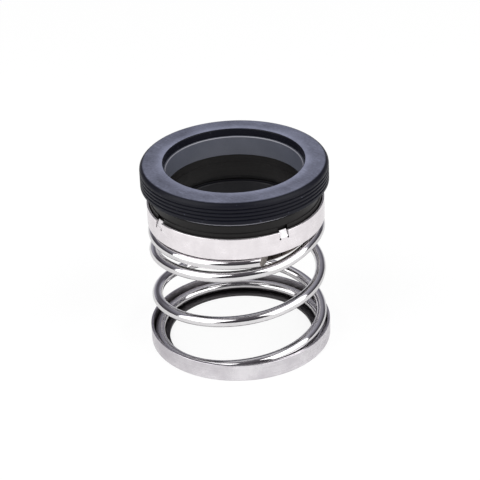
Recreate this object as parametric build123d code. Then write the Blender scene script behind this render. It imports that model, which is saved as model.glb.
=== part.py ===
from build123d import *
from math import ceil, cos, pi, radians, sin, tan
import os

# Single-coil-spring component mechanical seal.  Millimetres, +Z along the shaft.
# z = 0 is the underside of the spring seat, and the static cup is on top.
# The rotating half is the spring seat, coil spring, retainer shell, drive band,
# shaft bellows and primary ring.  The stationary half is the seat ring in its
# rubber cup.  Every radius is stacked outwards from the shaft, and every
# height is stacked upwards from the spring seat.

# ---------------------------------------------------------------- driving sizes
shaft_diameter = 38.0            # nominal shaft that the bellows grips

# shaft bellows, the rubber element that seals on the shaft
bellows_wall = 2.0               # sleeve thickness
bellows_tail = 4.8               # sleeve length below the retainer shell
bellows_flange = 1.5             # thickness of the flange behind the primary ring
bellows_rim = 1.1                # width of the rim by which the flange stands on the shell
fold_height = 1.0                # room between drive band and flange, where the rubber flexes
fold_round = 0.4                 # rounding of the fold's inner corners
bellows_relief = 1.3             # the bore behind the ring is cut back by this, off the shaft
relief_depth = 1.4               # how far that wider bore reaches down
relief_edge = 0.2                # chamfer at the step between the two bores
bellows_lead_in = 0.6            # chamfer at the lower mouth of the sleeve

# drive band, the steel sleeve that clamps the bellows on the shaft
band_wall = 0.7
band_rim_gap = 0.3               # radial gap from the band's flange to the bellows' rim
band_short_of_tail = 0.4         # the rubber sleeve stands out this far below it
band_notch_count = 2
band_notch_angle = 36.0          # first notch, degrees from the front (-Y) towards +X
band_notch_width = 0.5
band_notch_height = 2.4

# coil spring
wire_diameter = 3.2
spring_length = 39.5             # free length over the end coils
active_turns = 2.16              # turns between the flat lower end and the closed upper end
closed_turns = 1.0               # turns at the upper end, each just clear of the next coil
closed_gap = 0.15                # gap from each wire end to the coil that passes it
pitch_blend = 0.22               # turns over which the pitch changes
top_end_angle = 17.3             # upper wire end, degrees from the front (-Y) towards +X
end_cut = 48.0                   # degrees that the sheared upper end turns to face outwards
spring_band_gap = 1.7            # radial gap from drive band to coil
spring_end_gap = 0.05            # clearance of the free spring at each end
points_per_turn = 24             # points on the wire's centre line

# spring seat, the L-section ring under the spring
seat_floor = 1.0
seat_wall = 0.8
seat_height = 5.5
seat_corner = 0.6
seat_shaft_gap = 3.0             # radial gap from shaft to the floor's bore
seat_spring_gap = 0.2            # radial gap from coil to wall

# retainer shell, the drawn cup that carries the primary ring
shell_wall = 0.6
shell_corner = 0.2               # inner drawing radius at the floor
shell_overhang = 1.5             # shell's outer wall beyond the coil's centre line
shell_band_gap = 0.3             # radial gap from drive band to the floor's bore
shell_below_shoulder = 1.4       # rim lies this far under the primary ring's shoulder

# drive lugs, tongues of the shell's rim bent into the primary ring
lug_count = 4
lug_angle = 31.0                 # first lug, degrees from the front (-Y) towards +X
lug_width = 2.1
lug_length = 2.2                 # from its fold to the shell's rim
lug_rise = 0.3                   # a lug is this much longer than that
lug_tilt = 24.0                  # degrees that a lug leans inwards
slit_width = 0.4
slit_hole = 0.6                  # diameter of the hole that ends each slit

# primary ring, the rotating carbon face
ring_body_height = 4.6
ring_nose_height = 2.5
ring_nose_step = 0.25
ring_chamfer = 0.3
ring_shaft_gap = 1.1             # radial gap from shaft to bore
ring_shell_gap = 0.3             # radial gap from body to shell
ring_bore_step = 0.15            # the bore is this much wider in the nose
notch_side_gap = 0.6             # clearance of a lug in its notch, each side
notch_depth_gap = 0.35           # clearance of a lug from its notch's floor

# stationary seat ring
face_margin = 0.4                # seat ring's outer wall beyond the nose
stator_height = 6.1
stator_chamfer = 0.35
stator_shaft_gap = 1.3           # radial gap from shaft to bore

# static cup, the ribbed rubber ring that holds the seat ring in the housing
cup_wall = 2.25
cup_lip = 2.4                    # thickness of the lip over the seat ring
cup_recess = 0.6                 # the lip's bore is this much wider than the seat's
cup_above_face = 1.6             # seat ring stands out this far below the cup
cup_round = 1.6                  # rounded outer edge at the top
cup_edge = 0.25                  # small break of the other edges
groove_count = 4                 # grooves round the outside, between the ribs
groove_pitch = 1.15
groove_start = 1.4               # lowest groove above the cup's lower edge
groove_width = 0.6
groove_depth = 0.5

# ------------------------------------------------------------- derived radii
shaft_radius = shaft_diameter / 2
wire_radius = wire_diameter / 2
bellows_outer = shaft_radius + bellows_wall
band_outer = bellows_outer + band_wall
coil_radius = band_outer + spring_band_gap + wire_radius
seat_inner = coil_radius + wire_radius + seat_spring_gap
seat_outer = seat_inner + seat_wall
end_overrun = wire_diameter * tan(radians(end_cut))      # length of wire that the shear takes off
closed_pitch = wire_diameter + closed_gap
full_pitch = (spring_length - wire_diameter - closed_turns * closed_pitch) / active_turns
flat_turns = 1 - closed_pitch / full_pitch               # lower end, which lies flat in the seat
total_turns = flat_turns + active_turns + closed_turns
shell_outer = coil_radius + shell_overhang
shell_inner = shell_outer - shell_wall
ring_outer = shell_inner - ring_shell_gap
flange_outer = ring_outer - ring_chamfer
rim_inner = flange_outer - bellows_rim
band_flange_outer = rim_inner - band_rim_gap
nose_outer = ring_outer - ring_nose_step
ring_bore = shaft_radius + ring_shaft_gap
stator_outer = nose_outer + face_margin
stator_bore = shaft_radius + stator_shaft_gap
cup_outer = stator_outer + cup_wall
cup_bore = stator_bore + cup_recess

# ------------------------------------------------------------ derived heights
spring_bottom = seat_floor + spring_end_gap
shell_bottom = spring_bottom + spring_length + spring_end_gap
shell_floor_top = shell_bottom + shell_wall
band_flange_top = shell_floor_top + band_wall
fold_top = band_flange_top + fold_height
ring_bottom = fold_top + bellows_flange
ring_shoulder = ring_bottom + ring_body_height
seal_face = ring_shoulder + ring_nose_height
stator_top = seal_face + stator_height
cup_bottom = seal_face + cup_above_face
cup_top = stator_top + cup_lip
shell_rim = ring_shoulder - shell_below_shoulder
tail_bottom = shell_bottom - bellows_tail
band_bottom = tail_bottom + band_short_of_tail
lug_root = shell_rim - lug_length

STANDING = (Align.CENTER, Align.CENTER, Align.MIN)   # a box that stands on its place
OUTWARDS = (Align.MIN, Align.CENTER, Align.MIN)      # and one that also reaches out from it


def turned(profile):
    """Revolve a closed (radius, height) outline about the shaft axis."""
    face = make_face(Polyline([(r, 0, z) for r, z in profile], close=True))
    return revolve(face, Axis.Z, 360)


def circles_at(part, radius, height):
    """The circular edges of a turned part at one radius and height."""
    near = 1e-4
    return [
        edge
        for edge in part.edges().filter_by(GeomType.CIRCLE)
        if abs(edge.radius - radius) < near and abs(edge.center().Z - height) < near
    ]


def around(count, first):
    """Turns from the +X side to evenly spaced places, the first so many degrees from the front."""
    return [Rot(0, 0, first - 90 + 360 * k / count) for k in range(count)]


# ------------------------------------------------------------------ spring seat
def make_spring_seat():
    bore = shaft_radius + seat_shaft_gap
    body = turned([
        (bore, 0), (seat_outer, 0), (seat_outer, seat_height),
        (seat_inner, seat_height), (seat_inner, seat_floor), (bore, seat_floor),
    ])
    return fillet(circles_at(body, seat_outer, 0), seat_corner)


# ------------------------------------------------------------------ coil spring
def turns_climbed(turn, start):
    """Turns climbed at a pitch that grows in about the start, so many turns up the wire."""
    share = (turn - start) / pitch_blend + 0.5
    growing = min(max(share, 0.0), 1.0)
    return pitch_blend * (growing**3 - growing**4 / 2 + max(share - 1.0, 0.0))


def wire_height(turn):
    """Height of the wire's centre, so many turns up: flat, then open, then closed."""
    opened = full_pitch * turns_climbed(turn, flat_turns)
    closed = (full_pitch - closed_pitch) * turns_climbed(turn, flat_turns + active_turns)
    return spring_bottom + wire_radius + opened - closed


def wire_centre_line():
    """Points up the wire's centre line, past its upper end by the overrun."""
    last_turn = total_turns + end_overrun / (2 * pi * coil_radius)
    steps = ceil(last_turn * points_per_turn)
    points = []
    for k in range(steps + 1):
        turn = last_turn * k / steps
        angle = radians(top_end_angle - 90) - 2 * pi * (total_turns - turn)
        points.append((coil_radius * cos(angle), coil_radius * sin(angle), wire_height(turn)))
    return points


def shear():
    """Block that shears the upper wire end, down to the middle of the gap under it."""
    angle = radians(top_end_angle - 90)
    outward = Vector(cos(angle), sin(angle), 0)
    onward = Vector(-sin(angle), cos(angle), closed_pitch / (2 * pi * coil_radius))
    facing = onward * cos(radians(end_cut)) + outward * sin(radians(end_cut))
    wire_end = outward * coil_radius + Vector(0, 0, wire_height(total_turns))
    cut = Plane(origin=wire_end, x_dir=outward.cross(onward), z_dir=facing)
    reach = end_overrun + wire_radius
    block = Box(2 * wire_diameter, 2 * reach, reach, align=OUTWARDS)
    return cut * Pos(-(wire_diameter + closed_gap) / 2, 0, 0) * block


def make_coil_spring():
    centre_line = Spline(wire_centre_line())
    section = Plane(centre_line @ 0, z_dir=centre_line % 0) * Circle(wire_radius)
    return sweep(section, path=centre_line, is_frenet=True) - shear()


# --------------------------------------------------------------- retainer shell
def make_retainer_shell():
    bore = band_outer + shell_band_gap
    shell = turned([
        (bore, shell_bottom), (shell_outer, shell_bottom), (shell_outer, shell_rim),
        (shell_inner, shell_rim), (shell_inner, shell_floor_top), (bore, shell_floor_top),
    ])
    shell = fillet(circles_at(shell, shell_outer, shell_bottom), shell_corner + shell_wall)
    shell = fillet(circles_at(shell, shell_inner, shell_floor_top), shell_corner)

    middle = (shell_inner + shell_outer) / 2
    hinge = Pos(middle, 0, lug_root)
    through = 4 * shell_wall
    window = hinge * Box(through, lug_width + 2 * slit_width, 2 * lug_length, align=STANDING)
    slit_end = Rot(0, 90, 0) * Cylinder(slit_hole / 2, through)

    overlap = shell_wall                 # the tongue's foot stays sunk in the wall
    lug_tip = shell_rim + lug_rise
    wall = turned([
        (shell_inner, lug_root - overlap), (shell_outer, lug_root - overlap),
        (shell_outer, lug_tip), (shell_inner, lug_tip),
    ])
    strip = Pos(middle, 0, lug_root - overlap) * Box(through, lug_width, 2 * lug_length, align=STANDING)
    tongue = hinge * Rot(0, -lug_tilt, 0) * hinge.inverse() * (wall & strip)

    for place in around(lug_count, lug_angle):
        shell -= place * window
        shell += place * tongue
        for side in (-1, 1):
            slit_middle = side * (lug_width + slit_width) / 2
            shell -= place * Pos(middle, slit_middle, lug_root) * slit_end
    return shell


# ------------------------------------------------------------------- drive band
def make_drive_band():
    band = turned([
        (bellows_outer, band_bottom), (band_outer, band_bottom), (band_outer, shell_floor_top),
        (band_flange_outer, shell_floor_top), (band_flange_outer, band_flange_top),
        (bellows_outer, band_flange_top),
    ])
    notch = Box(2 * band_wall, band_notch_width, band_notch_height, align=STANDING)
    for place in around(band_notch_count, band_notch_angle):
        band -= place * Pos((bellows_outer + band_outer) / 2, 0, band_bottom) * notch
    return band


# --------------------------------------------------------------- shaft bellows
def make_shaft_bellows():
    relieved = shaft_radius + bellows_relief
    step = ring_bottom - relief_depth
    body = turned([
        (shaft_radius, tail_bottom), (bellows_outer, tail_bottom), (bellows_outer, fold_top),
        (rim_inner, fold_top), (rim_inner, shell_floor_top), (flange_outer, shell_floor_top),
        (flange_outer, ring_bottom), (relieved, ring_bottom),
        (relieved, step), (shaft_radius, step),
    ])
    fold = circles_at(body, bellows_outer, fold_top) + circles_at(body, rim_inner, fold_top)
    body = fillet(fold, fold_round)
    body = chamfer(circles_at(body, shaft_radius, step), relief_edge)
    return chamfer(circles_at(body, shaft_radius, tail_bottom), bellows_lead_in)


# ----------------------------------------------------------------- primary ring
def lug_tip_radius():
    """Smallest radius that a bent lug reaches."""
    lean = radians(lug_tilt)
    middle = (shell_inner + shell_outer) / 2
    return middle - shell_wall / 2 * cos(lean) - (lug_length + lug_rise) * sin(lean)


def make_primary_ring():
    nose_bore = ring_bore + ring_bore_step
    body = turned([
        (ring_bore, ring_bottom), (ring_outer, ring_bottom), (ring_outer, ring_shoulder),
        (nose_outer, ring_shoulder), (nose_outer, seal_face), (nose_bore, seal_face),
        (nose_bore, ring_shoulder), (ring_bore, ring_shoulder),
    ])
    edges = circles_at(body, ring_outer, ring_bottom) + circles_at(body, nose_outer, seal_face)
    body = chamfer(edges, ring_chamfer)
    notch_floor = lug_tip_radius() - notch_depth_gap
    notch_width = lug_width + 2 * notch_side_gap
    notch = Box(shell_outer - notch_floor, notch_width, ring_body_height, align=OUTWARDS)
    for place in around(lug_count, lug_angle):
        body -= place * Pos(notch_floor, 0, ring_bottom) * notch
    return body


# -------------------------------------------------------------- stationary seat
def make_stationary_seat():
    body = turned([
        (stator_bore, seal_face), (stator_outer, seal_face),
        (stator_outer, stator_top), (stator_bore, stator_top),
    ])
    edges = circles_at(body, stator_outer, seal_face)
    edges += circles_at(body, stator_outer, stator_top)
    edges += circles_at(body, stator_bore, stator_top)
    return chamfer(edges, stator_chamfer)


# ------------------------------------------------------------------- static cup
def make_static_cup():
    body = turned([
        (stator_outer, cup_bottom), (cup_outer, cup_bottom), (cup_outer, cup_top),
        (cup_bore, cup_top), (cup_bore, stator_top),
        (stator_outer - stator_chamfer, stator_top), (stator_outer, stator_top - stator_chamfer),
    ])
    body = fillet(circles_at(body, cup_outer, cup_top), cup_round)
    sharp = circles_at(body, cup_outer, cup_bottom) + circles_at(body, cup_bore, cup_top)
    body = chamfer(sharp, cup_edge)
    for k in range(groove_count):
        middle = cup_bottom + groove_start + k * groove_pitch
        low = middle - groove_width / 2
        high = middle + groove_width / 2
        clear = cup_outer + groove_depth
        body -= turned([
            (cup_outer - groove_depth, middle), (cup_outer, low),
            (clear, low), (clear, high), (cup_outer, high),
        ])
    return body


nodes = {
    "spring_seat": make_spring_seat(),
    "coil_spring": make_coil_spring(),
    "retainer_shell": make_retainer_shell(),
    "drive_band": make_drive_band(),
    "shaft_bellows": make_shaft_bellows(),
    "primary_ring": make_primary_ring(),
    "stationary_seat": make_stationary_seat(),
    "static_cup": make_static_cup(),
}

os.makedirs("parts", exist_ok=True)
for name, shape in nodes.items():
    export_step(shape, f"parts/{name}.step")
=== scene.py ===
from math import atan2, ceil, cos, pi, radians, sin, tan

import bpy
import numpy as np
from mathutils import Matrix, Vector


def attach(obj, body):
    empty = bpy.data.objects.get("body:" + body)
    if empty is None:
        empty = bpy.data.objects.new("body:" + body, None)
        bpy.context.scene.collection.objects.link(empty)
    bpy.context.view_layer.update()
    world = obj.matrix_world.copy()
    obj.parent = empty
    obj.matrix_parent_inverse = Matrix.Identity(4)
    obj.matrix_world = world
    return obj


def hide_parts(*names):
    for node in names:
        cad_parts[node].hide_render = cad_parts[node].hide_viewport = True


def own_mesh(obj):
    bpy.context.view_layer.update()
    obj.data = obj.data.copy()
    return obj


# Looks of a single-coil-spring mechanical seal.  Sizes are millimetres, as in the
# solids, and every mesh is brought to metres when it is made.
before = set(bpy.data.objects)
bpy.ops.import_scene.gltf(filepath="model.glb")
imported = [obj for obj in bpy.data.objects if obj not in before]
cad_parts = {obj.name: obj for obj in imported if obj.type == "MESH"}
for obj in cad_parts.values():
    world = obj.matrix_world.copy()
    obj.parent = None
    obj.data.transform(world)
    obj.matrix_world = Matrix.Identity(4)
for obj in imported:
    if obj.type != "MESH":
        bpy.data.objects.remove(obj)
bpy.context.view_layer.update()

MM = 0.001
STATIONS = 288                   # places round the axis where a turned piece has points
ARC_STEP = radians(18)           # turn between the points of a rounded corner
CREASE = radians(35)             # edges sharper than this stay sharp in the shading
FRONT = radians(-90)             # the front of the part is towards -Y

# ------------------------------------------------------------------- radii
shaft_radius = 19.0
bellows_outer = shaft_radius + 2.0
band_outer = bellows_outer + 0.7
wire_radius = 1.6
coil_radius = band_outer + 1.7 + wire_radius
seat_bore = shaft_radius + 3.0
seat_inner = coil_radius + wire_radius + 0.2
seat_outer = seat_inner + 0.8
shell_bore = band_outer + 0.3
shell_outer = coil_radius + 1.5
shell_inner = shell_outer - 0.6
ring_outer = shell_inner - 0.3
ring_bore = shaft_radius + 1.1
flange_outer = ring_outer - 0.3
rim_inner = flange_outer - 1.1
band_flange_outer = rim_inner - 0.3
nose_outer = ring_outer - 0.25
nose_bore = ring_bore + 0.15
stator_outer = nose_outer + 0.4
stator_bore = shaft_radius + 1.3
cup_outer = stator_outer + 2.25
cup_bore = stator_bore + 0.6
bellows_relief = shaft_radius + 1.3

# ----------------------------------------------------------------- heights
seat_floor = 1.0
seat_height = 5.5
spring_bottom = seat_floor + 0.05
spring_length = 39.5
shell_bottom = spring_bottom + spring_length + 0.05
shell_floor_top = shell_bottom + 0.6
band_flange_top = shell_floor_top + 0.7
fold_top = band_flange_top + 1.0
ring_bottom = fold_top + 1.5
ring_shoulder = ring_bottom + 4.6
seal_face = ring_shoulder + 2.5
stator_top = seal_face + 6.1
cup_bottom = seal_face + 1.6
cup_top = stator_top + 2.4
shell_rim = ring_shoulder - 1.4
tail_bottom = shell_bottom - 4.8
band_bottom = tail_bottom + 0.4
lug_root = shell_rim - 2.2
bellows_ledge = ring_bottom - 1.4

# ------------------------------------------------------------------ spring
active_turns = 2.16
closed_pitch = 2 * wire_radius + 0.15
full_pitch = (spring_length - 2 * wire_radius - closed_pitch) / active_turns
flat_turns = 1 - closed_pitch / full_pitch
total_turns = flat_turns + active_turns + 1
pitch_blend = 0.22               # turns in which the pitch changes
top_end_angle = radians(17.3) + FRONT
end_cut = radians(48)            # slant of the sheared upper end
# Under the shell the wire is raised a little: turns past the start of its upper turn, and amounts.
lift_places = (-0.42, -0.22, -0.05, 0.005, 0.14, 0.5)
lift_amounts = (0, 0.6, 0, 0, 1.9, 0)

# -------------------------------------------------------- lugs and notches
lug_angles = [radians(31) + FRONT + k * pi / 2 for k in range(4)]
lug_width = 2.4
lug_rise = 0.3                   # how much longer a lug is than the wall beside it
lug_tilt = radians(24)
lug_fold = 0.45                  # height over which a lug is bent
slit_width = 0.25
slit_hole = 0.6
ring_notch_width = 3.3
ring_notch_floor = 24.61
band_notch_angles = [radians(36) + FRONT + k * pi for k in range(2)]
band_notch_width = 0.5
band_notch_height = 2.4

# ------------------------------------------------------ grooves of the cup
groove_count = 4
groove_start = 1.4
groove_pitch = 1.15
groove_width = 0.6
groove_depth = 0.5


# --------------------------------------------------------------- mesh tools
def new_piece(name, points, faces):
    """A mesh object from points in millimetres."""
    mesh = bpy.data.meshes.new(name)
    mesh.from_pydata([tuple(p) for p in np.asarray(points) * MM], [], faces)
    mesh.polygons.foreach_set("use_smooth", [True] * len(mesh.polygons))
    piece = bpy.data.objects.new(name, mesh)
    bpy.context.scene.collection.objects.link(piece)
    return piece


def outline(*corners):
    """A closed outline from (radius, height, rounding) corners, anticlockwise.

    Gives its points, and at each point the outward normals before and after it.
    """
    places = np.array(corners, float)[:, :2]
    points, normals = [], []
    for k, (r, z, size) in enumerate(corners):
        way_in = places[k] - places[k - 1]
        way_out = places[(k + 1) % len(corners)] - places[k]
        way_in = way_in / np.linalg.norm(way_in)
        way_out = way_out / np.linalg.norm(way_out)
        turn = atan2(way_in[0] * way_out[1] - way_in[1] * way_out[0], way_in @ way_out)
        before = (way_in[1], -way_in[0])
        after = (way_out[1], -way_out[0])
        if size == 0:
            points.append(places[k])
            normals.append((before, after))
            continue
        steps = max(2, ceil(abs(turn) / ARC_STEP))
        point = places[k] - way_in * size * tan(abs(turn) / 2)
        chord = 2 * size * sin(abs(turn) / steps / 2)
        for step in range(steps + 1):
            angle = turn * step / steps
            normal = (
                before[0] * cos(angle) - before[1] * sin(angle),
                before[0] * sin(angle) + before[1] * cos(angle),
            )
            points.append(point)
            normals.append((normal, normal))
            along = angle + turn / steps / 2
            point = point + chord * np.array((
                way_in[0] * cos(along) - way_in[1] * sin(along),
                way_in[0] * sin(along) + way_in[1] * cos(along),
            ))
    return np.array(points), np.array(normals)


def lathe(name, shape):
    """Turns an outline about the shaft axis."""
    points, _ = shape
    size = len(points)
    angles = np.arange(STATIONS) * 2 * pi / STATIONS
    ring = np.stack([np.cos(angles), np.sin(angles)], -1)
    grid = np.concatenate([
        points[None, :, :1] * ring[:, None, :],
        np.broadcast_to(points[None, :, 1:], (STATIONS, size, 1)),
    ], -1)
    faces = []
    for j in range(STATIONS):
        low, high = j * size, (j + 1) % STATIONS * size
        for k in range(size):
            n = (k + 1) % size
            faces.append((low + k, high + k, high + n, low + n))
    return new_piece(name, grid.reshape(-1, 3), faces)


def read(collection, name):
    """One vector of every item of a mesh collection."""
    values = np.empty(len(collection) * 3)
    collection.foreach_get(name, values)
    return values.reshape(-1, 3)


def read_numbers(collection, name):
    """One whole number of every item of a mesh collection."""
    values = np.empty(len(collection), int)
    collection.foreach_get(name, values)
    return values


def shade(piece, shape, nearness=0.02, likeness=0.97):
    """Shades turned faces by their outline's own normals, and the others as they lie.

    A corner belongs to a line of the outline that is near to it and faces as its face does.
    """
    points, normals = shape
    mesh = piece.data
    mesh.set_sharp_from_angle(angle=CREASE)
    result = read(mesh.corner_normals, "vector")
    place = read(mesh.vertices, "co")[read_numbers(mesh.loops, "vertex_index")] / MM
    sides = read_numbers(mesh.polygons, "loop_total")
    centre = np.repeat(read(mesh.polygons, "center"), sides, axis=0)
    face = np.repeat(read(mesh.polygons, "normal"), sides, axis=0)
    across = np.hypot(centre[:, 0], centre[:, 1])
    face_radial = (face[:, 0] * centre[:, 0] + face[:, 1] * centre[:, 1]) / across
    radius = np.hypot(place[:, 0], place[:, 1])
    here = np.stack([radius, place[:, 2]], -1)
    best = np.full(len(mesh.loops), np.inf)
    for k in range(len(points)):
        start, end = points[k], points[(k + 1) % len(points)]
        first, last = normals[k][1], normals[(k + 1) % len(points)][0]
        line = end - start
        share = np.clip((here - start) @ line / (line @ line), 0, 1)
        away = np.linalg.norm(here - start - share[:, None] * line, axis=1)
        flat = np.array((line[1], -line[0])) / np.linalg.norm(line)
        facing = face_radial * flat[0] + face[:, 2] * flat[1]
        score = away + (1 - facing)
        fits = (away < nearness) & (facing > likeness) & (score < best)
        mixed = first + share[:, None] * (last - first)
        mixed /= np.linalg.norm(mixed, axis=1)[:, None]
        best[fits] = score[fits]
        result[fits, 0] = (mixed[:, 0] * place[:, 0] / radius)[fits]
        result[fits, 1] = (mixed[:, 0] * place[:, 1] / radius)[fits]
        result[fits, 2] = mixed[fits, 1]
    mesh.normals_split_custom_set(result.tolist())


def turned(points, angle):
    """Points turned about the shaft axis."""
    return [(x * cos(angle) - y * sin(angle), x * sin(angle) + y * cos(angle), z) for x, y, z in points]


def block(low, high, angle):
    """Points and faces of a cutter: a box along +X from low to high, turned by angle."""
    corners = [(x, y, z) for x in (low[0], high[0]) for y in (low[1], high[1]) for z in (low[2], high[2])]
    faces = [(0, 1, 3, 2), (4, 6, 7, 5), (0, 4, 5, 1), (2, 3, 7, 6), (0, 2, 6, 4), (1, 5, 7, 3)]
    return turned(corners, angle), faces


def radial_rod(start, end, middle, height, radius, angle, sides=24):
    """Points and faces of a cutter: a rod along +X, its middle so far along +Y, turned by angle."""
    points = []
    for x in (start, end):
        for k in range(sides):
            y = middle + radius * cos(2 * pi * k / sides)
            z = height + radius * sin(2 * pi * k / sides)
            points.append((x, y, z))
    faces = [(k, (k + 1) % sides, (k + 1) % sides + sides, k + sides) for k in range(sides)]
    faces += [tuple(range(sides - 1, -1, -1)), tuple(range(sides, 2 * sides))]
    return turned(points, angle), faces


def cut(piece, cutters):
    """Takes the cutters out of a piece and leaves it a plain mesh."""
    points, faces = [], []
    for some_points, some_faces in cutters:
        faces += [tuple(len(points) + v for v in face) for face in some_faces]
        points += some_points
    tool = new_piece("cutter", points, faces)
    change = piece.modifiers.new("cut", "BOOLEAN")
    change.operation = "DIFFERENCE"
    change.solver = "EXACT"
    change.object = tool
    bpy.context.view_layer.update()
    seen = piece.evaluated_get(bpy.context.evaluated_depsgraph_get())
    mesh = bpy.data.meshes.new_from_object(seen)
    piece.modifiers.clear()
    piece.data = mesh
    bpy.data.objects.remove(tool)


# ----------------------------------------------------------- material tools
class Nodes:
    """Short ways to build a node tree."""

    def __init__(self, tree):
        self.tree = tree
        tree.nodes.clear()

    def add(self, kind, inputs=None, **settings):
        node = self.tree.nodes.new(kind)
        for key, value in settings.items():
            setattr(node, key, value)
        for key, value in (inputs or {}).items():
            self.feed(node.inputs[key], value)
        return node

    def feed(self, socket, value):
        """Links a socket to another one, or sets its own value, colours as three numbers."""
        if isinstance(value, bpy.types.NodeSocket):
            self.tree.links.new(value, socket)
        elif socket.type == "RGBA":
            socket.default_value = (*value, 1.0)
        else:
            socket.default_value = value

    def math(self, operation, *values):
        return self.add("ShaderNodeMath", dict(enumerate(values)), operation=operation).outputs[0]

    def ramp(self, value, low, high, to_low=0.0, to_high=1.0, smooth=False):
        inputs = {"Value": value, "From Min": low, "From Max": high, "To Min": to_low, "To Max": to_high}
        way = "SMOOTHSTEP" if smooth else "LINEAR"
        return self.add("ShaderNodeMapRange", inputs, interpolation_type=way).outputs["Result"]

    def mix(self, share, first, second):
        node = self.add("ShaderNodeMix", data_type="RGBA")
        for key, value in zip((0, 6, 7), (share, first, second)):
            self.feed(node.inputs[key], value)
        return node.outputs[2]

    def shaders(self, share, first, second):
        return self.add("ShaderNodeMixShader", {0: share, 1: first, 2: second}).outputs[0]

    def facing_up(self):
        """How far the surface faces up: 1 on a flat top, 0 on a wall, -1 on an underside."""
        normal = self.add("ShaderNodeTexCoord").outputs["Normal"]
        return self.add("ShaderNodeSeparateXYZ", {"Vector": normal}).outputs["Z"]

    def noise(self, where, scale, detail=2.0, roughness=0.5):
        inputs = {"Vector": where, "Scale": scale, "Detail": detail, "Roughness": roughness}
        return self.add("ShaderNodeTexNoise", inputs).outputs["Fac"]

    def place(self):
        """Place on the piece in metres: the vector, its parts, its radius from the axis and its height."""
        where = self.add("ShaderNodeTexCoord").outputs["Object"]
        parts = self.add("ShaderNodeSeparateXYZ", {"Vector": where}).outputs
        flat = self.add("ShaderNodeCombineXYZ", {"X": parts["X"], "Y": parts["Y"]}).outputs[0]
        radius = self.add("ShaderNodeVectorMath", {0: flat}, operation="LENGTH").outputs["Value"]
        return where, parts, radius, parts["Z"]

    def streaks(self, fineness=9000.0, length=30.0):
        """Fine lines that run round the axis, on walls and on flat faces alike."""
        _, parts, radius, height = self.place()
        inputs = {
            "X": self.math("MULTIPLY", parts["X"], length),
            "Y": self.math("MULTIPLY", parts["Y"], length),
            "Z": self.math("MULTIPLY", self.math("ADD", radius, height), fineness),
        }
        grain = self.add("ShaderNodeCombineXYZ", inputs).outputs[0]
        return self.noise(grain, 1.0, 3.0, 0.6)

    def surface(self, bump=None, strength=0.1, distance=0.0001, **inputs):
        """The shader: names are the sockets', with _ for a blank."""
        shader = self.add("ShaderNodeBsdfPrincipled")
        for key, value in inputs.items():
            self.feed(shader.inputs[key.replace("_", " ")], value)
        if bump is not None:
            relief = {"Height": bump, "Strength": strength, "Distance": distance}
            self.tree.links.new(self.add("ShaderNodeBump", relief).outputs[0], shader.inputs["Normal"])
        self.add("ShaderNodeOutputMaterial", {"Surface": shader.outputs[0]})


def material(name):
    """A new material, and the means to build its nodes."""
    made = bpy.data.materials.new(name)
    made.use_nodes = True
    return made, Nodes(made.node_tree)


def steel(name, dark, light, smooth, rough, lines, wear_scale=260.0, dull_and_shaded_within=None, bent_above=None):
    """Stainless sheet steel: fine lines round the part, and slow patches of duller metal.

    Within a given radius of the axis it is duller, as drawn parts are inside, and its colour is painted dark
    with shade, darkest down by the floor.
    Above a given height whatever leaves the outer wall is bruised and whitened by the bending tool.
    """
    made, n = material(name)
    where, _, radius, height = n.place()
    grain = n.streaks()
    patches = n.noise(where, wear_scale, 4.0, 0.6)
    worn = n.ramp(patches, 0.35, 0.7)
    tone = n.math("ADD", n.math("MULTIPLY", grain, 0.6), n.math("MULTIPLY", worn, 0.4))
    colour = n.mix(n.ramp(tone, 0.25, 0.75), dark, light)
    roughness = n.ramp(tone, 0.2, 0.8, smooth, rough)
    if dull_and_shaded_within:
        # painted shade: inside the radius the walls are coloured dark, and darker still near the seat's
        # floor, where shade falls
        walls = n.mix(n.ramp(tone, 0.3, 0.6), (0.17, 0.16, 0.17), (0.32, 0.306, 0.317))
        floor_end, wall_start = (seat_floor + 0.4) * MM, (seat_floor + 1.2) * MM
        dull = n.mix(n.ramp(height, floor_end, wall_start), (0.085, 0.080, 0.084), walls)
        inside = n.ramp(radius, (dull_and_shaded_within + 0.05) * MM, (dull_and_shaded_within - 0.05) * MM)
        colour = n.mix(inside, colour, dull)
        roughness = n.math("MAXIMUM", roughness, n.math("MULTIPLY", inside, 0.38))
    if bent_above:
        high = n.ramp(height, bent_above * MM, (bent_above + 0.4) * MM)
        inwards = n.ramp(radius, (shell_outer - 0.05) * MM, (shell_outer - 0.2) * MM)
        bruised = n.math("MULTIPLY", high, inwards)
        whitened = n.mix(n.ramp(tone, 0.35, 0.65), (0.66, 0.64, 0.65), (0.84, 0.82, 0.83))
        colour = n.mix(bruised, colour, whitened)
        roughness = n.math("MAXIMUM", roughness, n.math("MULTIPLY", bruised, 0.68))
    n.surface(
        Base_Color=colour, Roughness=roughness, Metallic=1.0,
        bump=grain, strength=lines, distance=0.00005,
    )
    return made


def wire_steel():
    """Polished spring wire with faint drawing lines along it."""
    made, n = material("polished_wire")
    grain = n.add("ShaderNodeAttribute", attribute_name="grain").outputs["Vector"]
    lines = n.noise(grain, 1.0, 2.0, 0.5)
    where, _, _, _ = n.place()
    smears = n.noise(where, 180.0, 3.0, 0.6)
    n.surface(
        Base_Color=n.mix(smears, (0.60, 0.585, 0.595), (0.76, 0.75, 0.76)),
        Roughness=n.ramp(n.math("ADD", lines, smears), 0.7, 1.3, 0.06, 0.14),
        Metallic=1.0,
        bump=lines, strength=0.08, distance=0.00005,
    )
    return made


def sheared_steel():
    """Rough broken face where the wire was cut off."""
    made, n = material("sheared_wire")
    where, _, _, _ = n.place()
    tears = n.noise(where, 2200.0, 4.0, 0.7)
    n.surface(
        Base_Color=n.mix(n.ramp(tears, 0.35, 0.65), (0.10, 0.085, 0.075), (0.36, 0.33, 0.31)),
        Roughness=n.ramp(tears, 0.3, 0.7, 0.45, 0.7),
        Metallic=0.8,
        bump=tears, strength=0.6, distance=0.0002,
    )
    return made


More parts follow.
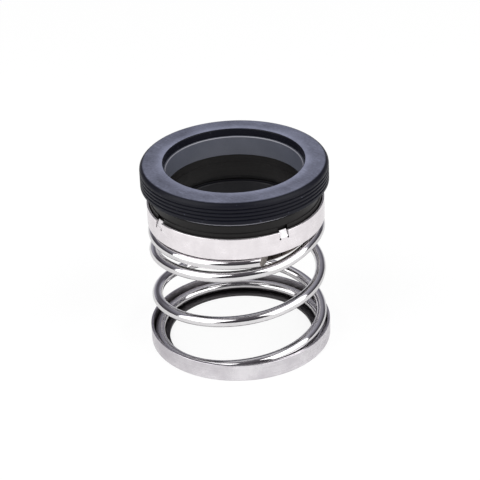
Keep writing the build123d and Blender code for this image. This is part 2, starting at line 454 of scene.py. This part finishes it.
def shaded_band_steel():
    """Steel of the drive band, coloured brown-black with painted shade except along its lower rim, where bare
    steel shows.
    """
    made, n = material("shaded_band_steel")
    where, _, _, height = n.place()
    grain = n.streaks()
    patches = n.noise(where, 420.0, 4.0, 0.6)
    # painted shade: the band is coloured brown-black as if it lay in deep shadow under the shell and inside
    # the coil
    painted_shade = n.mix(n.ramp(patches, 0.3, 0.7), (0.030, 0.024, 0.021), (0.11, 0.092, 0.082))
    # the painted shade stops short of the lower rim, which keeps bare steel's colour
    rim = (band_bottom + 0.3) * MM
    uneven = n.math("ADD", height, n.math("MULTIPLY", patches, 0.2 * MM))
    unshaded_rim = n.ramp(uneven, rim + 0.2 * MM, rim, smooth=True)
    n.surface(
        Base_Color=n.mix(unshaded_rim, painted_shade, (0.66, 0.63, 0.63)),
        Roughness=n.ramp(grain, 0.3, 0.7, 0.18, 0.34),
        Metallic=1.0,
        bump=grain, strength=0.08, distance=0.00005,
    )
    return made


def cup_rubber():
    """Moulded rubber: blue-black, with a grey bloom from handling on its flat top, lightened there with
    painted sheen, and a painted highlight towards the inner lip.
    """
    made, n = material("cup_rubber")
    where, parts, radius, _ = n.place()
    cloud = n.noise(where, 110.0, 5.0, 0.65)
    fine = n.noise(where, 1500.0, 3.0, 0.6)
    scratches = n.noise(n.add("ShaderNodeCombineXYZ", {
        "X": n.math("MULTIPLY", n.math("ADD", parts["X"], parts["Y"]), 2600.0),
        "Y": n.math("MULTIPLY", n.math("SUBTRACT", parts["X"], parts["Y"]), 160.0),
        "Z": 0.0,
    }).outputs[0], 1.0, 3.0, 0.55)
    # painted sheen: faces that point up are coloured lighter, along with their real dust and scratches
    flat_top = n.ramp(n.facing_up(), 0.85, 0.999, smooth=True)
    # painted highlight: lighter towards the inner lip
    inner_lip_highlight = n.ramp(radius, 24.0 * MM, 21.2 * MM, 0.0, 0.24, smooth=True)
    mottled = n.math("ADD", n.ramp(cloud, 0.3, 0.72, 0.28, 0.56), n.ramp(scratches, 0.56, 0.72, 0.0, 0.26))
    bloom = n.math("ADD", n.math("ADD", mottled, inner_lip_highlight), n.ramp(fine, 0.3, 0.7, -0.08, 0.08))
    dust_and_sheen = n.math("MULTIPLY", flat_top, bloom)
    specks = n.ramp(n.noise(where, 900.0, 2.0, 0.6), 0.70, 0.74, 0.0, 0.2)
    n.surface(
        Base_Color=n.mix(n.math("MAXIMUM", dust_and_sheen, specks), (0.0050, 0.0054, 0.0100), (0.28, 0.295, 0.40)),
        Roughness=n.ramp(n.math("ADD", cloud, fine), 0.6, 1.4, 0.34, 0.5),
        Specular_IOR_Level=0.14,
        bump=n.math("ADD", n.math("MULTIPLY", cloud, 2.0), fine), strength=0.12, distance=0.0001,
    )
    return made


def bellows_rubber():
    """Matt black rubber, with painted shade in the narrow relief under the primary ring."""
    made, n = material("bellows_rubber")
    where, _, radius, height = n.place()
    cloud = n.noise(where, 300.0, 4.0, 0.6)
    # painted shade: the relief under the primary ring is coloured near black, where shade falls
    relief = n.ramp(radius, (bellows_relief - 0.3) * MM, (bellows_relief - 0.1) * MM)
    above_ledge = n.ramp(height, (bellows_ledge - 0.1) * MM, (bellows_ledge + 0.2) * MM)
    painted_crevice_shade = n.math("MULTIPLY", relief, above_ledge)
    rubber = n.mix(cloud, (0.003, 0.003, 0.0045), (0.009, 0.009, 0.013))
    n.surface(
        Base_Color=n.mix(painted_crevice_shade, rubber, (0.0006, 0.0006, 0.0008)),
        Roughness=n.ramp(cloud, 0.3, 0.7, 0.38, 0.52),
        Specular_IOR_Level=0.25,
        bump=cloud, strength=0.15, distance=0.0001,
    )
    return made


def carbon():
    """Resin-bound carbon with turning lines and grey dust in its pores."""
    made, n = material("carbon")
    where, _, _, _ = n.place()
    grain = n.streaks(6500.0, 20.0)
    pores = n.noise(where, 2600.0, 3.0, 0.7)
    tone = n.ramp(n.math("ADD", grain, pores), 0.75, 1.3)
    n.surface(
        Base_Color=n.mix(tone, (0.0045, 0.0040, 0.0040), (0.0125, 0.0115, 0.0115)),
        Roughness=n.ramp(tone, 0.0, 1.0, 0.34, 0.5),
        Specular_IOR_Level=0.2,
        bump=grain, strength=0.12, distance=0.00005,
    )
    return made


def seat_ceramic():
    """Sintered seat ring: slate grey, faintly speckled, with a painted highlight on its chamfers."""
    made, n = material("seat_ceramic")
    where, _, _, _ = n.place()
    speckle = n.noise(where, 3200.0, 3.0, 0.7)
    cloud = n.noise(where, 160.0, 3.0, 0.5)
    uneven = n.math("ADD", n.math("MULTIPLY", speckle, 0.35), n.math("MULTIPLY", cloud, 0.5))
    body = n.mix(n.ramp(uneven, 0.3, 0.6), (0.078, 0.084, 0.108), (0.096, 0.102, 0.130))
    # painted highlight: faces sloping at about 45 degrees, the chamfers, are coloured lighter
    from_chamfer = n.math("ABSOLUTE", n.math("SUBTRACT", n.math("ABSOLUTE", n.facing_up()), 0.70))
    ground = n.ramp(from_chamfer, 0.22, 0.05, smooth=True)
    n.surface(
        Base_Color=n.mix(ground, body, (0.25, 0.25, 0.285)),
        Roughness=n.ramp(speckle, 0.3, 0.7, 0.30, 0.40),
        bump=speckle, strength=0.03, distance=0.00005,
    )
    return made


# ------------------------------------------------------------------- pieces
def make_spring_seat():
    """The L-section ring under the spring."""
    shape = outline(
        (seat_bore, 0, 0.12), (seat_outer, 0, 0.6), (seat_outer, seat_height, 0.16),
        (seat_inner, seat_height, 0.16), (seat_inner, seat_floor, 0.35), (seat_bore, seat_floor, 0.12),
    )
    piece = lathe("spring_seat_ring", shape)
    shade(piece, shape)
    return piece


def eased(value, places, amounts):
    """Amounts at places, joined by curves that start and end level."""
    result = np.full(np.shape(value), float(amounts[0]))
    for k in range(1, len(places)):
        share = np.clip((value - places[k - 1]) / (places[k] - places[k - 1]), 0, 1)
        result = result + (amounts[k] - amounts[k - 1]) * share**2 * (3 - 2 * share)
    return result


def turns_climbed(turn, start):
    """Turns climbed at a pitch that grows in about the start, so many turns up the wire."""
    share = (turn - start) / pitch_blend + 0.5
    growing = np.clip(share, 0, 1)
    return pitch_blend * (growing**3 - growing**4 / 2 + np.maximum(share - 1, 0))


def wire_height(turn):
    """Height of the wire's centre, so many turns up: flat, then open, then closed."""
    opened = full_pitch * turns_climbed(turn, flat_turns)
    closed = (full_pitch - closed_pitch) * turns_climbed(turn, flat_turns + active_turns)
    lift = eased(np.asarray(turn) - total_turns + 1, lift_places, lift_amounts)
    return spring_bottom + wire_radius + opened - closed + lift


def wire_skin(turn, around):
    """Points and normals on the wire, so many turns up and at an angle round its section."""
    def middle(turn):
        angle = top_end_angle - 2 * pi * (total_turns - turn)
        height = wire_height(turn)
        return np.stack([coil_radius * np.cos(angle), coil_radius * np.sin(angle), height], -1)

    step = 0.002
    centre = middle(turn)
    onward = middle(turn + step) - middle(turn - step)
    onward /= np.linalg.norm(onward, axis=-1)[..., None]
    outward = centre * (1, 1, 0) / coil_radius
    upward = np.cross(outward, onward)
    normal = outward * np.cos(around)[..., None] + upward * np.sin(around)[..., None]
    return centre + wire_radius * normal, normal


def sheared_turns(around, rounds=8):
    """Where each line along the wire meets the slanted cut at its upper end, nearer each round."""
    outward = np.array((cos(top_end_angle), sin(top_end_angle), 0))
    onward = np.array((-sin(top_end_angle), cos(top_end_angle), 0))
    facing = onward * cos(end_cut) + outward * sin(end_cut)
    turns = np.full(len(around), total_turns)
    for _ in range(rounds):
        skin, _ = wire_skin(turns, around)
        miss = ((skin - outward * coil_radius) * (1, 1, 0)) @ facing
        turns -= miss / (2 * pi * coil_radius * cos(end_cut))
    return turns


def crown(edge, first, shares=(0.9, 0.45)):
    """Points and faces that close a wire's end: rings at shares of its size, and a middle.

    The edge is a list of (number, place), and the new points are numbered from first on.
    """
    sides = len(edge)
    places = np.array([place for _, place in edge])
    centre = places.mean(axis=0)
    points = [point for share in shares for point in centre + share * (places - centre)] + [centre]
    rings = [[number for number, _ in edge]]
    rings += [list(range(first + k * sides, first + (k + 1) * sides)) for k in range(len(shares))]
    faces = []
    for outer, inner in zip(rings, rings[1:]):
        faces += [(outer[k], outer[(k + 1) % sides], inner[(k + 1) % sides], inner[k]) for k in range(sides)]
    last, middle = rings[-1], first + len(shares) * sides
    faces += [(last[k], last[(k + 1) % sides], middle) for k in range(sides)]
    return points, faces


def make_spring(sides=40, per_turn=110, cut_rings=10):
    """The wire from its square lower end to its sheared upper end, each end with its own material."""
    around = np.arange(sides) * 2 * pi / sides
    body_top = total_turns - 0.02
    rows = [np.full(sides, turn) for turn in np.linspace(0, body_top, ceil(total_turns * per_turn))]
    sheared = sheared_turns(around)
    rows += [body_top + (sheared - body_top) * k / cut_rings for k in range(1, cut_rings + 1)]
    turns = np.array(rows)
    points, normals = wire_skin(turns, np.broadcast_to(around, turns.shape))
    points = list(points.reshape(-1, 3))
    faces = []
    for j in range(len(rows) - 1):
        low, high = j * sides, (j + 1) * sides
        for k in range(sides):
            n = (k + 1) % sides
            faces.append((high + k, high + n, low + n, low + k))
    skin_points, skin_faces = len(points), len(faces)
    for start in (0, skin_points - sides):
        edge = [(k, points[k]) for k in range(start, start + sides)]
        more, cap = crown(edge, len(points))
        points += more
        faces += [face[::-1] for face in cap] if start == 0 else cap
    piece = new_piece("spring_coil", points, faces)
    mesh = piece.data
    mesh.polygons.foreach_set("material_index", [0] * skin_faces + [1] * (len(faces) - skin_faces))
    mesh.set_sharp_from_angle(angle=CREASE)
    result = read(mesh.corner_normals, "vector")
    skin_vertices = read_numbers(mesh.loops, "vertex_index")[:4 * skin_faces]
    result[:len(skin_vertices)] = normals.reshape(-1, 3)[skin_vertices]
    mesh.normals_split_custom_set(result.tolist())
    grain = np.zeros((len(points), 3))
    across, lengthwise = 9, 0.25     # how fine the drawing lines are
    along = (turns * 2 * pi * coil_radius).reshape(-1)
    phase = np.broadcast_to(around, turns.shape).reshape(-1)
    grain[:skin_points] = np.stack([across * np.cos(phase), across * np.sin(phase), along * lengthwise], -1)
    attribute = mesh.attributes.new("grain", "FLOAT_VECTOR", "POINT")
    attribute.data.foreach_set("vector", grain.reshape(-1))
    return piece


def shell_stations(lug_steps=8, wall_steps=60):
    """Angles of the shell's points, each with what lies from it to the next: wall, slit or lug."""
    middle = (shell_inner + shell_outer) / 2
    half_lug = lug_width / 2 / middle
    half_window = (lug_width / 2 + slit_width) / middle
    between = pi / 2 - 2 * half_window
    stations = []
    for centre in lug_angles:
        stations.append((centre - half_window, "slit"))
        stations += [(centre - half_lug + 2 * half_lug * k / lug_steps, "lug") for k in range(lug_steps)]
        stations.append((centre + half_lug, "slit"))
        stations += [(centre + half_window + between * k / wall_steps, "wall") for k in range(wall_steps)]
    return stations


def bend(height, offset, steps=40):
    """Radius and height of a point of a lug once it is bent: offset is outwards from the wall's middle."""
    middle = (shell_inner + shell_outer) / 2
    angles = np.minimum(np.linspace(0, height, steps + 1) / lug_fold, 1) * lug_tilt
    mid_angles = (angles[1:] + angles[:-1]) / 2
    radius = middle - np.sum(np.sin(mid_angles)) * height / steps
    level = lug_root + np.sum(np.cos(mid_angles)) * height / steps
    return radius + offset * cos(angles[-1]), level + offset * sin(angles[-1])


def make_shell():
    """The drawn cup, open in the slits beside each lug, with the lugs bent inwards."""
    rim_round = 0.14
    levels = (0.1, 0.2, 0.3, 0.4, 0.5, 0.8, 1.4)     # heights of the walls' points above the lugs' roots
    below = (-1.0, -0.5, -0.35)                      # and below them
    middle = (shell_inner + shell_outer) / 2
    up = [(shell_outer, lug_root + z, 0) for z in (*below, 0, *levels)]
    down = [(shell_inner, lug_root + z, 0) for z in (*levels[::-1], 0, *below[::-1])]
    shape = outline(
        (shell_bore, shell_bottom, 0.1), (shell_outer, shell_bottom, 0.8), *up,
        (shell_outer, shell_rim, rim_round), (shell_inner, shell_rim, rim_round), *down,
        (shell_inner, shell_floor_top, 0.2), (shell_bore, shell_floor_top, 0.1),
    )
    points, _ = shape
    root_out, root_in = (
        int(np.argmin(np.hypot(points[:, 0] - wall, points[:, 1] - lug_root)))
        for wall in (shell_outer, shell_inner)
    )
    bent = points.copy()
    stretch = (shell_rim - lug_root + lug_rise) / (shell_rim - lug_root)
    for k in range(root_out + 1, root_in):
        bent[k] = bend((points[k, 1] - lug_root) * stretch, points[k, 0] - middle)
    stations = shell_stations()
    count, size = len(stations), len(points)
    grid, faces = [], []
    for j, (angle, kind) in enumerate(stations):
        outline_here = bent if "lug" in (kind, stations[j - 1][1]) else points
        grid += [(r * cos(angle), r * sin(angle), z) for r, z in outline_here]
        low, high = j * size, (j + 1) % count * size
        for k in range(size):
            n = (k + 1) % size
            if kind == "slit" and root_out <= k < root_in:
                continue
            faces.append((low + k, high + k, high + n, low + n))
        if kind == "slit":
            faces.append((low + root_out, high + root_out, high + root_in, low + root_in))
            faces.append(tuple(low + k for k in range(root_out, root_in + 1)))
            faces.append(tuple(high + k for k in range(root_in, root_out - 1, -1)))
    piece = new_piece("shell", grid, faces)
    holes = []
    for centre in lug_angles:
        for side in (-1, 1):
            across = side * (lug_width + slit_width) / 2
            start, end = shell_inner - 1.2, shell_outer + 1.2
            holes.append(radial_rod(start, end, across, lug_root, slit_hole / 2, centre))
    cut(piece, holes)
    shade(piece, shape)
    return piece


def make_drive_band():
    """The sleeve round the bellows' tail, flanged inside the shell and notched at its lower rim."""
    shape = outline(
        (bellows_outer, band_bottom, 0.08), (band_outer, band_bottom, 0.15),
        (band_outer, shell_floor_top, 0.2), (band_flange_outer, shell_floor_top, 0.1),
        (band_flange_outer, band_flange_top, 0.1), (bellows_outer, band_flange_top, 0.15),
    )
    piece = lathe("clamp_band", shape)
    half = band_notch_width / 2
    low = (bellows_outer - 0.5, -half, band_bottom - 1)
    high = (band_outer + 0.5, half, band_bottom + band_notch_height)
    cut(piece, [block(low, high, angle) for angle in band_notch_angles])
    shade(piece, shape)
    return piece


def make_bellows():
    """The rubber sleeve: tail, fold, flange behind the primary ring, and a ledge in its bore."""
    shape = outline(
        (shaft_radius + 0.6, tail_bottom, 0.15), (bellows_outer, tail_bottom, 0.3),
        (bellows_outer, fold_top, 0.4), (rim_inner, fold_top, 0.4),
        (rim_inner, shell_floor_top, 0.2), (flange_outer, shell_floor_top, 0.25),
        (flange_outer, ring_bottom, 0.2), (bellows_relief, ring_bottom, 0.15),
        (bellows_relief, bellows_ledge, 0.1), (shaft_radius + 0.2, bellows_ledge, 0.05),
        (shaft_radius, bellows_ledge - 0.2, 0.05), (shaft_radius, tail_bottom + 0.6, 0.15),
    )
    piece = lathe("bellows_sleeve", shape)
    shade(piece, shape)
    return piece


def make_primary_ring():
    """The carbon ring: body, step, nose with the seal face, and a notch for each lug."""
    shape = outline(
        (ring_bore, ring_bottom, 0.1), (ring_outer - 0.3, ring_bottom, 0.05),
        (ring_outer, ring_bottom + 0.3, 0.05), (ring_outer, ring_shoulder, 0.1),
        (nose_outer, ring_shoulder, 0.1), (nose_outer, seal_face - 0.3, 0.04),
        (nose_outer - 0.3, seal_face, 0.04), (nose_bore, seal_face, 0.08),
        (nose_bore, ring_shoulder, 0.05), (ring_bore, ring_shoulder, 0.06),
    )
    piece = lathe("carbon_ring", shape)
    half = ring_notch_width / 2
    low = (ring_notch_floor, -half, ring_bottom - 1)
    high = (ring_outer + 1, half, ring_shoulder)
    cut(piece, [block(low, high, angle) for angle in lug_angles])
    shade(piece, shape)
    return piece


def make_stationary_seat():
    """The ceramic ring with its ground chamfers."""
    shape = outline(
        (stator_bore, seal_face, 0.08), (stator_outer - 0.4, seal_face, 0.05),
        (stator_outer, seal_face + 0.45, 0.05),
        (stator_outer, stator_top - 0.35, 0.05), (stator_outer - 0.35, stator_top, 0.05),
        (stator_bore + 0.22, stator_top, 0.04), (stator_bore, stator_top - 0.22, 0.04),
    )
    piece = lathe("seat_ring", shape)
    shade(piece, shape)
    return piece


def make_static_cup():
    """The rubber cup: grooved outside, rolled over at the top, stepped inside for the seat ring."""
    corners = [
        (stator_outer, cup_bottom, 0.1),
        (cup_outer - 0.25, cup_bottom, 0.15), (cup_outer, cup_bottom + 0.25, 0.15),
    ]
    for k in range(groove_count):
        middle = cup_bottom + groove_start + groove_pitch * k
        corners += [
            (cup_outer, middle - groove_width / 2, 0.12), (cup_outer - groove_depth, middle, 0.07),
            (cup_outer, middle + groove_width / 2, 0.12),
        ]
    corners += [
        (cup_outer, cup_top, 1.6), (cup_bore + 0.25, cup_top, 0.15), (cup_bore, cup_top - 0.25, 0.15),
        (cup_bore, stator_top, 0.1),
        (stator_outer - 0.35, stator_top, 0.05), (stator_outer, stator_top - 0.35, 0.05),
    ]
    shape = outline(*corners)
    piece = lathe("cup", shape)
    shade(piece, shape)
    return piece


def dress(piece, body, node, slot, *materials):
    """Gives a piece its materials and its place in the frame."""
    for made in materials:
        piece.data.materials.append(made)
    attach(piece, body)
    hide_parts(node)
    return piece


# ---------------------------------------------------------- studio and camera
def make_world():
    """White to the camera, dim to the object: a pale ceiling, dark walls and a grey gap ahead."""
    world = bpy.data.worlds.new("studio")
    world.use_nodes = True
    world.cycles.sampling_method = "NONE"
    bpy.context.scene.world = world
    n = Nodes(world.node_tree)
    way = n.add("ShaderNodeTexCoord").outputs["Generated"]
    way = n.add("ShaderNodeSeparateXYZ", {"Vector": way}).outputs
    low_wall = n.mix(n.ramp(way["Z"], -0.1, 0.4), (0.012, 0.011, 0.014), (0.12, 0.115, 0.135))
    walls = n.mix(n.ramp(way["Z"], 0.4, 0.85), low_wall, (0.46, 0.455, 0.52))
    band_foot = n.ramp(way["Z"], -0.08, 0.03, smooth=True)
    band_top = n.ramp(way["Z"], 0.36, 0.12, smooth=True)
    pale_band = n.math("MULTIPLY", band_foot, band_top)
    behind = n.math("MULTIPLY", pale_band, n.ramp(way["Y"], 0.62, 0.86, smooth=True))
    walls = n.mix(behind, walls, (0.44, 0.435, 0.50))
    gap = n.mix(n.ramp(way["Z"], 0.2, 0.95), (0.05, 0.047, 0.053), (0.13, 0.12, 0.135))
    room = n.mix(n.ramp(way["Y"], 0.1, -0.25, smooth=True), walls, gap)
    high = n.ramp(way["Z"], 0.78, 0.90, smooth=True)
    overhead = n.math("MULTIPLY", high, n.ramp(way["Y"], 0.12, 0.35, smooth=True))
    room = n.mix(overhead, room, (0.75, 0.75, 0.77))
    ray = n.add("ShaderNodeLightPath").outputs
    reflected = n.add("ShaderNodeBackground", {"Color": room, "Strength": 1.0}).outputs[0]
    white = n.add("ShaderNodeBackground", {"Color": (1, 1, 1), "Strength": 1.0}).outputs[0]
    ambient = n.add("ShaderNodeBackground", {"Color": (1, 1, 1), "Strength": 0.36}).outputs[0]
    lit = n.shaders(ray["Is Glossy Ray"], ambient, reflected)
    seen = n.math("MAXIMUM", ray["Is Camera Ray"], ray["Is Transmission Ray"])
    n.add("ShaderNodeOutputWorld", {"Surface": n.shaders(seen, lit, white)})


def make_floor():
    """A wide pale floor: white to the eye, with the object's soft shadow."""
    sides, edge, drop = 96, 3000.0, 0.01     # drop keeps it just clear of the seat's underside
    angles = [2 * pi * k / sides for k in range(sides)]
    floor = new_piece("floor", [(edge * cos(a), edge * sin(a), -drop) for a in angles], [tuple(range(sides))])
    made, n = material("floor")
    made.cycles.emission_sampling = "NONE"

    def pale(colour):
        return n.add("ShaderNodeBsdfDiffuse", {"Color": (colour, colour, colour)}).outputs[0]

    def glowing(glow, colour):
        """A floor that shows this much white of itself, and the rest from the light on it."""
        own = n.add("ShaderNodeEmission", {"Color": (1, 1, 1), "Strength": glow}).outputs[0]
        return n.add("ShaderNodeAddShader", {0: pale(colour), 1: own}).outputs[0]

    _, _, radius, _ = n.place()
    far = n.ramp(radius, 0.15, 0.9, smooth=True)
    to_the_eye = n.shaders(far, glowing(0.86, 0.15), glowing(1.0, 0.0))
    ray = n.add("ShaderNodeLightPath").outputs
    otherwise = n.shaders(ray["Is Glossy Ray"], pale(0.86), glowing(0.15, 0.75))
    seen = n.math("MAXIMUM", ray["Is Camera Ray"], ray["Is Transmission Ray"])
    n.add("ShaderNodeOutputMaterial", {"Surface": n.shaders(seen, otherwise, to_the_eye)})
    floor.data.materials.append(made)


def softbox(name, azimuth, elevation=32, distance=0.8, size=(0.80, 0.95), watts=6.4, aim=0.03):
    """A large soft lamp that faces the shaft axis at the height aim.

    Azimuth, to the right of the front, and elevation are degrees.  Distance, size and aim are metres.
    """
    lamp = bpy.data.lights.new(name, "AREA")
    lamp.shape = "RECTANGLE"
    lamp.size, lamp.size_y = size
    lamp.energy = watts
    light = bpy.data.objects.new(name, lamp)
    around, up = radians(azimuth) + FRONT, radians(elevation)
    away = Vector((cos(around) * cos(up), sin(around) * cos(up), sin(up)))
    light.location = away * distance + Vector((0, 0, aim))
    light.rotation_euler = away.to_track_quat("Z", "Y").to_euler()
    bpy.context.scene.collection.objects.link(light)


def make_camera():
    """A long lens above the front, turned a little so that the right side stands higher.

    Angles are radians, distances and places are metres, and the sensor and lens are millimetres.
    """
    elevation, roll = 0.50736, 0.0427
    distance, far_clip = 0.5681, 20
    sensor, focal_length = 36, 141.25
    target = Vector((0.000836, 0, 0.03277))
    back = Vector((0, -cos(elevation), sin(elevation)))
    right = Vector((1, 0, 0))
    up = Vector((0, sin(elevation), cos(elevation)))
    across = cos(roll) * right - sin(roll) * up
    upward = sin(roll) * right + cos(roll) * up
    data = bpy.data.cameras.new("camera")
    data.sensor_width = sensor
    data.lens = focal_length
    data.clip_end = far_clip
    camera = bpy.data.objects.new("camera", data)
    turn = Matrix((across, upward, back)).transposed().to_4x4()
    camera.matrix_world = Matrix.Translation(target + distance * back) @ turn
    bpy.context.scene.collection.objects.link(camera)
    bpy.context.scene.camera = camera


# -------------------------------------------------------------------- making
seat_steel = steel(
    "seat_steel", (0.52, 0.495, 0.525), (0.76, 0.74, 0.76), 0.20, 0.32, 0.12,
    wear_scale=120.0, dull_and_shaded_within=seat_inner + 0.15,
)
shell_steel = steel(
    "shell_steel", (0.74, 0.70, 0.72), (0.86, 0.82, 0.84), 0.20, 0.30, 0.08,
    bent_above=lug_root + 0.1,
)

dress(make_spring_seat(), "base", "spring_seat", "stamped_steel", seat_steel)
spring = dress(make_spring(), "base", "coil_spring", "spring_wire", wire_steel(), sheared_steel())
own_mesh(spring)
dress(make_shell(), "head", "retainer_shell", "drawn_steel", shell_steel)
dress(make_drive_band(), "head", "drive_band", "band_steel", shaded_band_steel())
dress(make_bellows(), "head", "shaft_bellows", "bellows_rubber", bellows_rubber())
dress(make_primary_ring(), "head", "primary_ring", "carbon_face", carbon())
dress(make_stationary_seat(), "stator", "stationary_seat", "seat_ceramic", seat_ceramic())
dress(make_static_cup(), "stator", "static_cup", "cup_rubber", cup_rubber())

make_world()
make_floor()
softbox("left_box", -61)
softbox("right_box", 59)
make_camera()
bpy.context.scene.view_settings.view_transform = "Standard"
